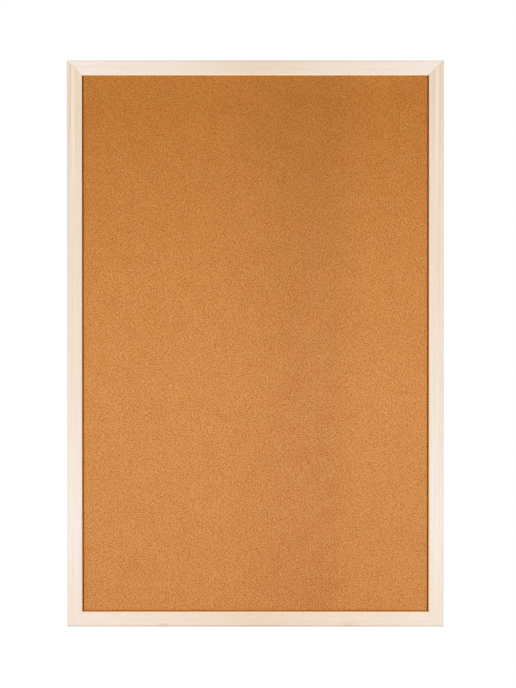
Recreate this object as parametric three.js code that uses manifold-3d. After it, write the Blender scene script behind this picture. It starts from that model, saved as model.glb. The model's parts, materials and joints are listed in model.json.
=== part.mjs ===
// A cork pin board in a narrow mitred pine frame, with two swinging ring hangers on its back.
// Millimetres, +Z up. The board hangs on a wall and faces -Y. The origin lies on the wall plane,
// in the middle of the top rail's back face.

import * as THREE from "three";
import { mergeVertices } from "three/addons/utils/BufferGeometryUtils.js";
import Module from "manifold-3d";

const wasm = await Module();
wasm.setup();

// The board, over the outside of its frame
const BOARD_WIDTH = 399;
const BOARD_HEIGHT = 600;

// Layers from the front of the frame back to the wall
const FRONT_REVEAL = 2;
const CORK_THICKNESS = 3;
const CORE_THICKNESS = 7;
const PANEL_THICKNESS = 3;
const PANEL_RECESS = 1;

// Frame moulding: its face, the rebate for the back panel, and its eased edges
const FACE_WIDTH = 16;
const REBATE_WIDTH = 5;
const OUTER_EASE = 1.5;
const INNER_EASE = 0.6;
const BACK_EASE = 0.5;
const MITRE_GAP = 0.1;

// Room round the cork and core in the sight opening, and round the back panel in the rebate
const SIDE_GAP = 1;
const HEAD_GAP = 0.3;
const FOOT_GAP = 0.5;
const PANEL_GAP = 0.5;

// V-nails, driven from the back across each mitre
const NAIL_SHEET = 0.5;
const NAIL_LEG = 5;
const NAIL_FLARE = 0.8;
const NAIL_HEIGHT = 9;
const NAIL_SET = 0.2;
const NAIL_INSET = 3;
const NAIL_PITCH = 3.6;
const NAIL_ROOM = 0.12;

// Staples that hold the back panel in the rebate
const STAPLES_PER_RAIL = 3;
const STAPLES_PER_STILE = 4;
const STAPLE_END = 45;
const STAPLE_CROWN = 9;
const STAPLE_LEG = 8;
const STAPLE_WIRE = 0.6;
const STAPLE_WIDTH = 0.95;
const STAPLE_ROOM = 0.15;

// Hanger: a strap rolled round the straight side of a D-shaped wire ring
const HANGER_DROP = 100;
const STRAP_WIDTH = 7;
const STRAP_SHEET = 1;
const KNUCKLE_ROOM = 0.3;
const KNUCKLE_MOUTH = 0.15;
const RING_WIRE = 2;
const RING_REACH = 12;
const RING_BEND = 1.5;
const RING_PLAY = 0.5;
const RING_SEAM = 0.3;
const RING_EDGE = 0.5;

// Screw through each strap
const SCREW_HEAD = 5;
const SCREW_HEAD_HEIGHT = 1.7;
const SCREW_SHANK = 2.4;
const SCREW_LENGTH = 12;
const SCREW_POINT = 3;
const SCREW_ROOM = 0.2;
const SCREW_CLEAR = 2;
const STRAP_HOLE_ROOM = 0.4;
const CROSS_LENGTH = 2.8;
const CROSS_WIDTH = 0.7;
const CROSS_DEPTH = 1;

// How finely the round forms are faceted
const EASE_STEPS = 5;
const KNUCKLE_STEPS = 9;
const RING_STEPS = 60;
const WIRE_SIDES = 12;
const SCREW_SIDES = 20;

// Depths from the wall plane, z = 0, towards the front
const CORK_BACK = PANEL_RECESS + PANEL_THICKNESS + CORE_THICKNESS;
const REBATE_DEPTH = PANEL_RECESS + PANEL_THICKNESS;
const CORK_FRONT = CORK_BACK + CORK_THICKNESS;
const FRAME_DEPTH = CORK_FRONT + FRONT_REVEAL;

// Places across the moulding, measured inwards from its outer edge
const LAND_WIDTH = FACE_WIDTH - REBATE_WIDTH;
const PANEL_EDGE = LAND_WIDTH + PANEL_GAP;
const STAPLE_LINE = (PANEL_EDGE + FACE_WIDTH) / 2;

// The hanger, measured from the middle of the ring's straight side. Its middle line stands far
// enough in from the board's edge to keep the ring out of sight, and its screw clears the ring.
const WIRE_RADIUS = RING_WIRE / 2;
const RING_STRAIGHT = STRAP_WIDTH / 2 + RING_PLAY;
const RING_HALF = RING_STRAIGHT + RING_BEND;
const HANGER_LINE = RING_HALF + WIRE_RADIUS + RING_EDGE;
const KNUCKLE_BORE = WIRE_RADIUS + KNUCKLE_ROOM;
const KNUCKLE_HEIGHT = STRAP_SHEET + KNUCKLE_BORE;
const SCREW_DROP = RING_REACH + SCREW_CLEAR + SCREW_HEAD / 2;
const STRAP_REACH = SCREW_DROP + STRAP_WIDTH / 2;

const QUARTER_TURN = Math.PI / 2;

// How far a cut runs past the face that it opens, and how close two points count as one
const PAST = 1;
const SAME_POINT = 1e-6;

const PINE = { color: 0xf2e2ce, roughness: 0.55, metalness: 0 };
const CORK = { color: 0xd08b4d, roughness: 0.9, metalness: 0 };
const SOFTBOARD = { color: 0xb08f66, roughness: 0.95, metalness: 0 };
const HARDBOARD = { color: 0x6f4a30, roughness: 0.8, metalness: 0 };
const NAIL_STEEL = { color: 0x8d9095, roughness: 0.45, metalness: 1 };
const ZINC = { color: 0xc3c5c6, roughness: 0.35, metalness: 1 };

// The four lengths of moulding, each a quarter turn on from the last. A side's own frame has the
// board's middle at its origin, with the outer edge of the moulding at y = -reach.
const SIDES = [
  { name: "bottom_rail", corner: "bottom_right", length: BOARD_WIDTH, reach: BOARD_HEIGHT / 2,
    label: "bottom", staples: STAPLES_PER_RAIL },
  { name: "right_stile", corner: "top_right", length: BOARD_HEIGHT, reach: BOARD_WIDTH / 2,
    label: "right", staples: STAPLES_PER_STILE, hangerEnd: 1 },
  { name: "top_rail", corner: "top_left", length: BOARD_WIDTH, reach: BOARD_HEIGHT / 2,
    label: "top", staples: STAPLES_PER_RAIL },
  { name: "left_stile", corner: "bottom_left", length: BOARD_HEIGHT, reach: BOARD_WIDTH / 2,
    label: "left", staples: STAPLES_PER_STILE, hangerEnd: -1 },
];

// A named mesh with a material of its own.
function piece(name, geometry, finish) {
  const mesh = new THREE.Mesh(geometry, new THREE.MeshStandardMaterial(finish));
  mesh.name = name;
  return mesh;
}

// A geometry as a closed solid that can be cut.
function toSolid(geometry) {
  const bare = geometry.clone();
  bare.deleteAttribute("normal");
  bare.deleteAttribute("uv");
  const welded = mergeVertices(bare);
  const corners = welded.index.array;
  const kept = [];
  for (let i = 0; i < corners.length; i += 3) {
    const [a, b, c] = corners.slice(i, i + 3);
    if (a !== b && b !== c && c !== a) kept.push(a, b, c);
  }
  return new wasm.Manifold(new wasm.Mesh({
    numProp: 3,
    vertProperties: welded.attributes.position.array,
    triVerts: new Uint32Array(kept),
  }));
}

// A cut solid as a geometry with flat faces.
function toGeometry(solid) {
  const { vertProperties, triVerts } = solid.getMesh();
  const shared = new THREE.BufferGeometry();
  shared.setAttribute("position", new THREE.BufferAttribute(vertProperties, 3));
  shared.setIndex(new THREE.BufferAttribute(triVerts, 1));
  const geometry = shared.toNonIndexed();
  geometry.computeVertexNormals();
  return geometry;
}

// A geometry less a list of tool geometries.
function cut(geometry, tools) {
  return toGeometry(tools.reduce((rest, tool) => rest.subtract(toSolid(tool)), toSolid(geometry)));
}

// An outline pushed straight out by a depth.
function prism(shape, depth, curveSegments = EASE_STEPS) {
  return new THREE.ExtrudeGeometry(shape, { depth, curveSegments, bevelEnabled: false });
}

// A box between two corners.
function boxBetween(low, high) {
  const size = high.clone().sub(low);
  const middle = low.clone().add(high).multiplyScalar(0.5);
  return new THREE.BoxGeometry(size.x, size.y, size.z).translate(middle.x, middle.y, middle.z);
}

// A round bar along z between two depths, with its middle line at x, y.
function barAlongZ(radius, x, y, from, to) {
  return new THREE.CylinderGeometry(radius, radius, to - from, SCREW_SIDES)
    .rotateX(QUARTER_TURN)
    .translate(x, y, (from + to) / 2);
}

// Outline of a bent strip that follows a line of points, half thick to each side of it and longer
// than the line by extra at each end.
function stripShape(line, half, extra = 0) {
  const apart = (point, i) => i === 0 || point.distanceTo(line[i - 1]) > SAME_POINT;
  const points = line.filter(apart).map((point) => point.clone());
  const last = points.length - 1;
  const headings = [];
  for (let i = 0; i < last; i += 1) headings.push(points[i + 1].clone().sub(points[i]).normalize());
  points[0].addScaledVector(headings[0], -extra);
  points[last].addScaledVector(headings[last - 1], extra);
  const left = [];
  const right = [];
  points.forEach((point, i) => {
    const before = headings[Math.max(i - 1, 0)];
    const after = headings[Math.min(i, last - 1)];
    const mean = before.clone().add(after).normalize();
    const across = new THREE.Vector2(-mean.y, mean.x).multiplyScalar(half / mean.dot(after));
    left.push(point.clone().add(across));
    right.unshift(point.clone().sub(across));
  });
  return new THREE.Shape([...left, ...right]);
}

// Section of the moulding: x inwards from the outer edge, y forwards from the wall.
function mouldingSection() {
  const section = new THREE.Shape();
  section.moveTo(LAND_WIDTH, 0);
  section.lineTo(LAND_WIDTH, REBATE_DEPTH);
  section.lineTo(FACE_WIDTH, REBATE_DEPTH);
  section.absarc(FACE_WIDTH - INNER_EASE, FRAME_DEPTH - INNER_EASE, INNER_EASE, 0, QUARTER_TURN);
  section.absarc(OUTER_EASE, FRAME_DEPTH - OUTER_EASE, OUTER_EASE, QUARTER_TURN, Math.PI);
  section.absarc(BACK_EASE, BACK_EASE, BACK_EASE, Math.PI, 3 * QUARTER_TURN);
  return section;
}

// A length of moulding along x with both ends cut at 45 degrees, its outer edge along y = 0.
function mitredMoulding(length) {
  const geometry = prism(mouldingSection(), length);
  const place = geometry.attributes.position;
  const setBack = MITRE_GAP * Math.SQRT1_2;
  for (let i = 0; i < place.count; i += 1) {
    const inwards = place.getX(i) + setBack;
    const along = place.getZ(i) === 0 ? inwards : length - inwards;
    place.setZ(i, along - length / 2);
  }
  const turn = new THREE.Matrix4().makeBasis(
    new THREE.Vector3(0, 1, 0),
    new THREE.Vector3(0, 0, 1),
    new THREE.Vector3(1, 0, 0),
  );
  return geometry.applyMatrix4(turn);
}

// Middle line of a V-nail seen from the front, with the board's outer corner at the origin.
function nailLine(inset) {
  const tip = inset + NAIL_LEG;
  const flare = NAIL_FLARE * Math.SQRT1_2;
  return [
    new THREE.Vector2(inset - flare, tip + flare),
    new THREE.Vector2(inset, tip),
    new THREE.Vector2(inset, inset),
    new THREE.Vector2(tip, inset),
    new THREE.Vector2(tip + flare, inset - flare),
  ];
}

const NAILS = [
  { label: "outer", inset: NAIL_INSET },
  { label: "inner", inset: NAIL_INSET + NAIL_PITCH },
];

// A V-nail, set just below the back of the frame.
function nailGeometry(inset) {
  return prism(stripShape(nailLine(inset), NAIL_SHEET / 2), NAIL_HEIGHT).translate(0, 0, NAIL_SET);
}

// The slot that a V-nail has cut into the two mouldings, open at the back.
function nailSlot(inset) {
  const outline = stripShape(nailLine(inset), NAIL_SHEET / 2 + NAIL_ROOM, NAIL_ROOM);
  const depth = NAIL_SET + NAIL_HEIGHT + NAIL_ROOM;
  return prism(outline, depth + PAST).translate(0, 0, -PAST);
}

// Middles of the staples along a side.
function staplePlaces(side) {
  const span = side.length - 2 * (FACE_WIDTH + STAPLE_END);
  const pitch = span / (side.staples - 1);
  return Array.from({ length: side.staples }, (_, i) => i * pitch - span / 2);
}

// A staple with its crown along x, flat on the back panel, and its legs forwards.
function stapleGeometry() {
  const half = (STAPLE_CROWN - STAPLE_WIRE) / 2;
  const crown = PANEL_RECESS - STAPLE_WIRE / 2;
  const tip = PANEL_RECESS + STAPLE_LEG;
  const line = [
    new THREE.Vector2(-half, tip),
    new THREE.Vector2(-half, crown),
    new THREE.Vector2(half, crown),
    new THREE.Vector2(half, tip),
  ];
  return prism(stripShape(line, STAPLE_WIRE / 2), STAPLE_WIDTH)
    .rotateX(QUARTER_TURN)
    .translate(0, STAPLE_WIDTH / 2, 0);
}

// Holes of all the staples' legs along a side, in the side's own frame.
function stapleHoles(side) {
  const halfWire = STAPLE_WIRE / 2 + STAPLE_ROOM;
  const halfWidth = STAPLE_WIDTH / 2 + STAPLE_ROOM;
  const deep = PANEL_RECESS + STAPLE_LEG + STAPLE_ROOM;
  const across = STAPLE_LINE - side.reach;
  const half = (STAPLE_CROWN - STAPLE_WIRE) / 2;
  return staplePlaces(side).flatMap((place) => [place - half, place + half].map((leg) => boxBetween(
    new THREE.Vector3(leg - halfWire, across - halfWidth, -PAST),
    new THREE.Vector3(leg + halfWire, across + halfWidth, deep),
  )));
}

// One side of the frame in its own frame, cut for its nails, staples and hanger screw.
function sideGeometry(side) {
  const endSlots = NAILS.flatMap(({ inset }) => [
    nailSlot(inset).translate(-side.length / 2, -side.reach, 0),
    nailSlot(inset).rotateZ(QUARTER_TURN).translate(side.length / 2, -side.reach, 0),
  ]);
  const tools = [...endSlots, ...stapleHoles(side)];
  if (side.hangerEnd) {
    const along = side.hangerEnd * (side.length / 2 - HANGER_DROP - SCREW_DROP);
    const deep = SCREW_LENGTH - STRAP_SHEET + SCREW_ROOM;
    tools.push(barAlongZ(SCREW_SHANK / 2 + SCREW_ROOM, along, HANGER_LINE - side.reach, -PAST, deep));
  }
  return cut(mitredMoulding(side.length).translate(0, -side.reach, 0), tools);
}

// A side with its staples and with the V-nails of the corner that it ends in.
function buildSide(side, index) {
  const group = new THREE.Group();
  group.rotation.z = index * QUARTER_TURN;
  group.add(piece(side.name, sideGeometry(side), PINE));
  staplePlaces(side).forEach((place, i) => {
    const staple = piece(`staple_${side.label}_${i + 1}`, stapleGeometry(), ZINC);
    staple.position.set(place, STAPLE_LINE - side.reach, 0);
    group.add(staple);
  });
  NAILS.forEach(({ label, inset }) => {
    const nail = piece(`v_nail_${side.corner}_${label}`, nailGeometry(inset), NAIL_STEEL);
    nail.position.set(side.length / 2, -side.reach, 0);
    nail.rotation.z = QUARTER_TURN;
    group.add(nail);
  });
  return group;
}

// A layer of the pinning panel, cut to the sight opening less the room round it.
function panelLayer(from, to) {
  const halfWidth = BOARD_WIDTH / 2 - FACE_WIDTH - SIDE_GAP;
  const halfHeight = BOARD_HEIGHT / 2 - FACE_WIDTH;
  return boxBetween(
    new THREE.Vector3(-halfWidth, FOOT_GAP - halfHeight, from),
    new THREE.Vector3(halfWidth, halfHeight - HEAD_GAP, to),
  );
}

// The back panel, seated on the shoulder of the rebate and pierced by the staples.
function backPanelGeometry() {
  const halfWidth = BOARD_WIDTH / 2 - PANEL_EDGE;
  const halfHeight = BOARD_HEIGHT / 2 - PANEL_EDGE;
  const board = boxBetween(
    new THREE.Vector3(-halfWidth, -halfHeight, PANEL_RECESS),
    new THREE.Vector3(halfWidth, halfHeight, REBATE_DEPTH),
  );
  const holes = SIDES.flatMap((side, index) => (
    stapleHoles(side).map((hole) => hole.rotateZ(index * QUARTER_TURN))
  ));
  return cut(board, holes);
}

// The strap: a plate on the stile, rolled at its top round the ring's straight side.
function strapGeometry() {
  const middle = KNUCKLE_BORE + STRAP_SHEET / 2;
  const closing = Math.asin((KNUCKLE_BORE - KNUCKLE_MOUTH) / (KNUCKLE_BORE + STRAP_SHEET));
  const side = new THREE.Path();
  side.moveTo(-STRAP_REACH, STRAP_SHEET / 2);
  side.lineTo(0, STRAP_SHEET / 2);
  side.absarc(0, KNUCKLE_HEIGHT, middle, -QUARTER_TURN, Math.PI + closing);
  const profile = stripShape(side.getPoints(KNUCKLE_STEPS), STRAP_SHEET / 2);
  const upright = new THREE.Matrix4().makeBasis(
    new THREE.Vector3(0, 1, 0),
    new THREE.Vector3(0, 0, -1),
    new THREE.Vector3(-1, 0, 0),
  );
  const rolled = prism(profile, STRAP_WIDTH).translate(0, 0, -STRAP_WIDTH / 2).applyMatrix4(upright);

  const half = STRAP_WIDTH / 2;
  const top = KNUCKLE_BORE + STRAP_SHEET + PAST;
  const back = KNUCKLE_HEIGHT + KNUCKLE_BORE + STRAP_SHEET + PAST;
  const outline = new THREE.Shape();
  outline.moveTo(half, top);
  outline.lineTo(-half, top);
  outline.absarc(0, -SCREW_DROP, half, Math.PI, 2 * Math.PI);
  const trim = prism(outline, back + PAST, SCREW_SIDES / 2).translate(0, 0, -back);

  const holeRadius = SCREW_SHANK / 2 + STRAP_HOLE_ROOM;
  const hole = barAlongZ(holeRadius, 0, -SCREW_DROP, -STRAP_SHEET - PAST, PAST);
  return toGeometry(toSolid(rolled).intersect(toSolid(trim)).subtract(toSolid(hole)));
}

// Middle line of the ring's wire: a D with its straight side uppermost, where the two ends of the
// wire meet.
class RingLine extends THREE.Curve {
  constructor() {
    super();
    const bowTop = RING_HALF + WIRE_RADIUS - RING_REACH;
    this.path = new THREE.Path();
    this.path.moveTo(RING_SEAM / 2, 0);
    this.path.lineTo(RING_STRAIGHT, 0);
    this.path.absarc(RING_STRAIGHT, -RING_BEND, RING_BEND, QUARTER_TURN, 0, true);
    this.path.absarc(0, bowTop, RING_HALF, 0, -Math.PI, true);
    this.path.absarc(-RING_STRAIGHT, -RING_BEND, RING_BEND, Math.PI, QUARTER_TURN, true);
    this.path.lineTo(-RING_SEAM / 2, 0);
  }

  getPoint(t, target = new THREE.Vector3()) {
    const { x, y } = this.path.getPoint(t);
    return target.set(x, y, 0);
  }
}

// The ring, hanging from its straight side, with its wire bent round its middle line.
function ringGeometry() {
  const section = new THREE.Shape().absarc(0, 0, WIRE_RADIUS, 0, 2 * Math.PI);
  return new THREE.ExtrudeGeometry(section, {
    steps: RING_STEPS,
    curveSegments: WIRE_SIDES / 2,
    extrudePath: new RingLine(),
  });
}

// A wood screw with a domed head and a cross recess, its head's underside at z = 0.
function screwGeometry() {
  const shank = SCREW_SHANK / 2;
  const head = SCREW_HEAD / 2;
  const outline = new THREE.Path();
  outline.moveTo(0, SCREW_LENGTH);
  outline.lineTo(shank, SCREW_LENGTH - SCREW_POINT);
  outline.lineTo(shank, 0);
  outline.lineTo(head, 0);
  outline.absellipse(0, 0, head, SCREW_HEAD_HEIGHT, 0, -QUARTER_TURN, true);
  const turned = new THREE.LatheGeometry(outline.getPoints(EASE_STEPS).reverse(), SCREW_SIDES);
  const slots = [0, QUARTER_TURN].map((turn) => boxBetween(
    new THREE.Vector3(-CROSS_LENGTH / 2, -CROSS_WIDTH / 2, -SCREW_HEAD_HEIGHT - PAST),
    new THREE.Vector3(CROSS_LENGTH / 2, CROSS_WIDTH / 2, CROSS_DEPTH - SCREW_HEAD_HEIGHT),
  ).rotateZ(turn));
  return cut(turned.rotateX(QUARTER_TURN), slots);
}

// One hanger: strap, ring and screw, placed from the axis of the ring's straight side.
function buildHanger(label) {
  const group = new THREE.Group();
  const ring = piece(`${label}_hanger_ring`, ringGeometry(), ZINC);
  ring.position.z = -KNUCKLE_HEIGHT;
  const screw = piece(`${label}_hanger_screw`, screwGeometry(), ZINC);
  screw.position.set(0, -SCREW_DROP, -STRAP_SHEET);
  group.add(piece(`${label}_hanger_strap`, strapGeometry(), ZINC), ring, screw);
  return group;
}

// The board lying on its back: x right, y up the board, z forwards from the wall plane.
function buildBoard() {
  const board = new THREE.Group();
  SIDES.forEach((side, index) => board.add(buildSide(side, index)));
  board.add(
    piece("back_panel", backPanelGeometry(), HARDBOARD),
    piece("core_board", panelLayer(REBATE_DEPTH, CORK_BACK), SOFTBOARD),
    piece("cork_sheet", panelLayer(CORK_BACK, CORK_FRONT), CORK),
  );
  const across = BOARD_WIDTH / 2 - HANGER_LINE;
  [["left", -across], ["right", across]].forEach(([label, x]) => {
    const hanger = buildHanger(label);
    hanger.position.set(x, BOARD_HEIGHT / 2 - HANGER_DROP, 0);
    board.add(hanger);
  });
  return board;
}

const pinBoard = new THREE.Group();
const board = buildBoard();
board.rotation.x = QUARTER_TURN;
board.position.z = LAND_WIDTH / 2 - BOARD_HEIGHT / 2;
pinBoard.add(board);

export default pinBoard;
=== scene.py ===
"""Dresses a cork pin board: mitred pine frame, cork face, stapled back and ring hangers.

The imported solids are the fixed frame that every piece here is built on. Lengths are in metres,
with +X to the right of someone who faces the board, +Y into the wall and +Z up.
"""

import json
import logging
import math
from dataclasses import dataclass, field
from enum import Enum, IntEnum
from functools import partial
from typing import ClassVar, Sequence, Union

import bmesh
import bpy
from mathutils import Matrix, Vector, noise


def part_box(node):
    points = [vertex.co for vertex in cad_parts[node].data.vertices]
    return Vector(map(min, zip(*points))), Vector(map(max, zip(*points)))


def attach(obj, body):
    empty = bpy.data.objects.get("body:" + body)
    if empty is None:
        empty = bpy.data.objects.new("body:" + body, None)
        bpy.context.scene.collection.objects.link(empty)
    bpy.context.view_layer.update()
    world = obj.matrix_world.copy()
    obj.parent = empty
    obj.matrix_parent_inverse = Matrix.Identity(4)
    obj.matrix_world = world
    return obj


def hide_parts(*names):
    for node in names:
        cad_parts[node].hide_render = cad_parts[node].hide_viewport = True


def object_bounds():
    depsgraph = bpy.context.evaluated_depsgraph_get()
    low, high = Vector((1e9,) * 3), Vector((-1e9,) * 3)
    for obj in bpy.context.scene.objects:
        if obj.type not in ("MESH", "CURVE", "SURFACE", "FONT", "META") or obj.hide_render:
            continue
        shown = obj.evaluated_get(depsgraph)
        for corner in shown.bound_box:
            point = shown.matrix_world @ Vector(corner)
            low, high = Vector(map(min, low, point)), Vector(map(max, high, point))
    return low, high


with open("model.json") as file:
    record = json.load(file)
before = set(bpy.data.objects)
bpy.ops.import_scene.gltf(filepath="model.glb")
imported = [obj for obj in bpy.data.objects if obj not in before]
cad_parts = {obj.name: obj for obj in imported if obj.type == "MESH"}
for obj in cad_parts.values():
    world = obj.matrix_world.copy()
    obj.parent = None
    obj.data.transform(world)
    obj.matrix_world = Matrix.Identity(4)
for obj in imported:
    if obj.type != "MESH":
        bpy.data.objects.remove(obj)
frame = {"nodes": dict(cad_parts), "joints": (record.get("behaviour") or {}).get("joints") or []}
cad_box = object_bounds()

LOG = logging.getLogger("pin_board")
MM = 0.001
QUARTER = math.pi / 2

Colour = tuple[float, float, float]
Pair = tuple[float, float]
Stops = Sequence[tuple[float, Colour]]
Socket = bpy.types.NodeSocket
Feed = Union[Socket, float, Sequence[float]]
Mesh = bmesh.types.BMesh
Vert = bmesh.types.BMVert
Edge = bmesh.types.BMEdge
Face = bmesh.types.BMFace

WHITE: Colour = (1.0, 1.0, 1.0)


class Lie(Enum):
    """Which way a length of moulding lies, and its grain with it."""

    LEVEL = "level"
    UPRIGHT = "upright"


class Corner(Enum):
    """A corner of the frame, by its side of the middle across and up."""

    TOP_LEFT = (-1, 1)
    TOP_RIGHT = (1, 1)
    BOTTOM_LEFT = (-1, -1)
    BOTTOM_RIGHT = (1, -1)


class Hand(Enum):
    """Which stile a hanger is screwed to."""

    LEFT = "left"
    RIGHT = "right"


class Surface(IntEnum):
    """The surfaces of a moulding, in the order of its materials."""

    PLANED = 0
    SAWN = 1
    INNER_WALL = 2


class Facets(IntEnum):
    """How finely each round shape is faceted."""

    WIRE = 18
    HOLE = 24
    KNUCKLE = 30
    SMALL_BEND = 8
    BOW = 32
    FLOOR = 96


class ShaderSheet:
    """The node tree of a material or a world, with short ways to add nodes and wires."""

    def __init__(self, owner: Union[bpy.types.Material, bpy.types.World]) -> None:
        """Starts from the nodes that a new material or world has.

        Args:
            owner: The material or world.
        """
        owner.use_nodes = True
        self.owner = owner
        self.tree = owner.node_tree
        self.surface = self.tree.nodes.get("Principled BSDF")

    def add(self, kind: str, *feeds: Feed, **settings: object) -> bpy.types.Node:
        """Adds a node.

        Args:
            kind: The node's type name, without its ShaderNode start.
            *feeds: What its inputs get, in order.
            **settings: Its properties.

        Returns:
            The new node.
        """
        node = self.tree.nodes.new("ShaderNode" + kind)
        for key, value in settings.items():
            setattr(node, key, value)
        for socket, value in zip(node.inputs, feeds):
            self.feed(socket, value)
        return node

    def feed(self, target: Socket, value: Feed) -> None:
        """Wires a socket to another one, or sets it to a plain value.

        Args:
            target: The input socket.
            value: An output socket, a number, or the numbers of a vector or colour.
        """
        if isinstance(value, Socket):
            self.tree.links.new(value, target)
        elif target.type == "RGBA":
            target.default_value = (*value, 1.0)
        else:
            target.default_value = value

    def wire(self, node: bpy.types.Node, **feeds: Feed) -> bpy.types.Node:
        """Feeds some of a node's inputs.

        Args:
            node: The node.
            **feeds: What its inputs get, by their names.

        Returns:
            The node.
        """
        for name, value in feeds.items():
            self.feed(node.inputs[name], value)
        return node

    def coat(self, colour: Feed, rough: Feed, gloss: float) -> None:
        """Sets the colour, roughness and specular level of the material's surface."""
        inputs = {"Base Color": colour, "Roughness": rough, "Specular IOR Level": gloss}
        self.wire(self.surface, **inputs)

    def place(self, turn: Sequence[float] = (0.0,) * 3, shift: Sequence[float] = (0.0,) * 3) -> Socket:
        """Gives the piece's own coordinates, turned, then shifted.

        Args:
            turn: Angle about each axis.
            shift: Distance along each axis.

        Returns:
            The socket of the coordinates.
        """
        own = self.add("TexCoord").outputs["Object"]
        mapping = self.add("Mapping", vector_type="POINT")
        return self.wire(mapping, Vector=own, Rotation=turn, Location=shift).outputs["Vector"]

    def sums(self, operation: str, *terms: Feed) -> Socket:
        """Does a sum on numbers, given a Math node's operation and its inputs in order."""
        return self.add("Math", *terms, operation=operation).outputs["Value"]

    def vector(self, operation: str, *terms: Feed) -> Socket:
        """Does a sum on vectors, given a Vector Math node's operation and its inputs in order."""
        node = self.add("VectorMath", *terms, operation=operation)
        return node.outputs["Value" if operation == "LENGTH" else "Vector"]

    def span(self, value: Feed, reach: Pair, to: Pair, blend: str = "SMOOTHSTEP") -> Socket:
        """Maps a range of values onto another, held at its ends.

        Args:
            value: What is mapped.
            reach: Start and end of the range.
            to: What they become.
            blend: How it goes from one to the other.

        Returns:
            The socket of the result.
        """
        node = self.add("MapRange", value, *reach, *to, clamp=True, interpolation_type=blend)
        return node.outputs["Result"]

    def slope(self, value: Feed, reach: Pair, to: Pair) -> Socket:
        """Maps a range of values onto another in a straight line, held at its ends."""
        return self.span(value, reach, to, "LINEAR")

    def band(self, value: Feed, rise: Pair, fall: Pair, foot: float = 0.0, top: float = 1.0) -> Socket:
        """Rises over one range of values and falls again over another.

        Args:
            value: What is mapped.
            rise: Start and end of the rise.
            fall: Start and end of the fall.
            foot: Share of the top at which the rise starts.
            top: How high it rises.

        Returns:
            The socket of the result.
        """
        return self.sums(
            "MULTIPLY",
            self.span(value, rise, (foot, 1.0)),
            self.span(value, fall, (top, 0.0)),
        )

    def ramp(self, value: Feed, stops: Stops, blend: str = "LINEAR") -> Socket:
        """Turns a number into a colour.

        Args:
            value: A number from 0 to 1.
            stops: Places and colours, in order.
            blend: How it goes from one stop to the next.

        Returns:
            The socket of the colour.
        """
        node = self.add("ValToRGB", value)
        strip = node.color_ramp
        strip.interpolation = blend
        while len(strip.elements) < len(stops):
            strip.elements.new(1.0)
        for element, (place, colour) in zip(strip.elements, stops):
            element.position = place
            element.color = (*colour, 1.0)
        return node.outputs["Color"]

    def mix(self, share: Feed, first: Feed, second: Feed, blend: str = "MIX") -> Socket:
        """Mixes two colours.

        Args:
            share: How much of the second, from 0 to 1.
            first: The first colour.
            second: The second colour.
            blend: How they mix.

        Returns:
            The socket of the colour.
        """
        node = self.add("Mix", share, data_type="RGBA", blend_type=blend)
        for socket, colour in zip((i for i in node.inputs if i.type == "RGBA"), (first, second)):
            self.feed(socket, colour)
        return next(o for o in node.outputs if o.type == "RGBA")

    def tint(self, colour: Feed, by: Feed, share: Feed = 1.0) -> Socket:
        """Multiplies a colour by another colour or a number, to a share from 0 to 1."""
        return self.mix(share, colour, by, "MULTIPLY")

    def noise(self, vector: Feed, scale: float, detail: float = 2.0, rough: float = 0.5) -> Socket:
        """Draws a cloudy pattern.

        Args:
            vector: Its coordinates.
            scale: How fine it is, in waves to the metre.
            detail: Its octaves.
            rough: The weight of the finer octaves.

        Returns:
            The socket of its value, on a node that also gives a colour.
        """
        node = self.add("TexNoise", noise_dimensions="3D")
        self.wire(node, Vector=vector, Scale=scale, Detail=detail, Roughness=rough)
        return node.outputs["Fac"]

    def cells(self, vector: Feed, size: float, stray: float = 1.0, depth: str = "3D") -> bpy.types.Node:
        """Draws a pattern of cells.

        Args:
            vector: Its coordinates.
            size: The cells' size in metres.
            stray: How far the cells stray from even rows, from 0 to 1.
            depth: Its dimensions.

        Returns:
            The node, which gives each cell a colour, and the distance from its middle.
        """
        node = self.add("TexVoronoi", voronoi_dimensions=depth, feature="F1")
        return self.wire(node, Vector=vector, Scale=1.0 / size, Randomness=stray)

    def specks(
        self, vector: Feed, size: float, pick: str, rare: float, fade: Pair, most: float
    ) -> Socket:
        """Scatters small specks.

        Args:
            vector: Their coordinates.
            size: Size of the cells that may hold one.
            pick: The channel of the cells' colours that picks those that do.
            rare: Share of the cells that stay empty.
            fade: Where a speck starts to fade and where it is gone, as shares of its cell.
            most: How much of it shows in its middle.

        Returns:
            The socket of how much shows at each place.
        """
        cells = self.cells(vector, size)
        drawn = self.sums("GREATER_THAN", self.part(cells.outputs["Color"], pick), rare)
        return self.sums("MULTIPLY", drawn, self.span(cells.outputs["Distance"], fade, (most, 0.0)))

    def part(self, whole: Feed, name: str) -> Socket:
        """Gives the X, Y or Z of a vector, or the Red, Green or Blue of a colour."""
        kind = "SeparateXYZ" if name in "XYZ" else "SeparateColor"
        return self.add(kind, whole).outputs[name]

    def bump(self, height: Feed, depth: float, strength: float) -> None:
        """Roughens the surface.

        Args:
            height: The relief, from 0 to 1.
            depth: Its depth in metres.
            strength: How much of it shows.
        """
        node = self.wire(self.add("Bump"), Height=height, Distance=depth, Strength=strength)
        self.wire(self.surface, Normal=node.outputs["Normal"])

    def seen(self) -> Socket:
        """Tells the rays that see a surface from those that only carry light.

        Returns:
            The socket that is 1 for camera, glossy and transmission rays.
        """
        rays = self.add("LightPath").outputs
        seen = self.sums("MAXIMUM", rays["Is Camera Ray"], rays["Is Glossy Ray"])
        return self.sums("MAXIMUM", seen, rays["Is Transmission Ray"])

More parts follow.
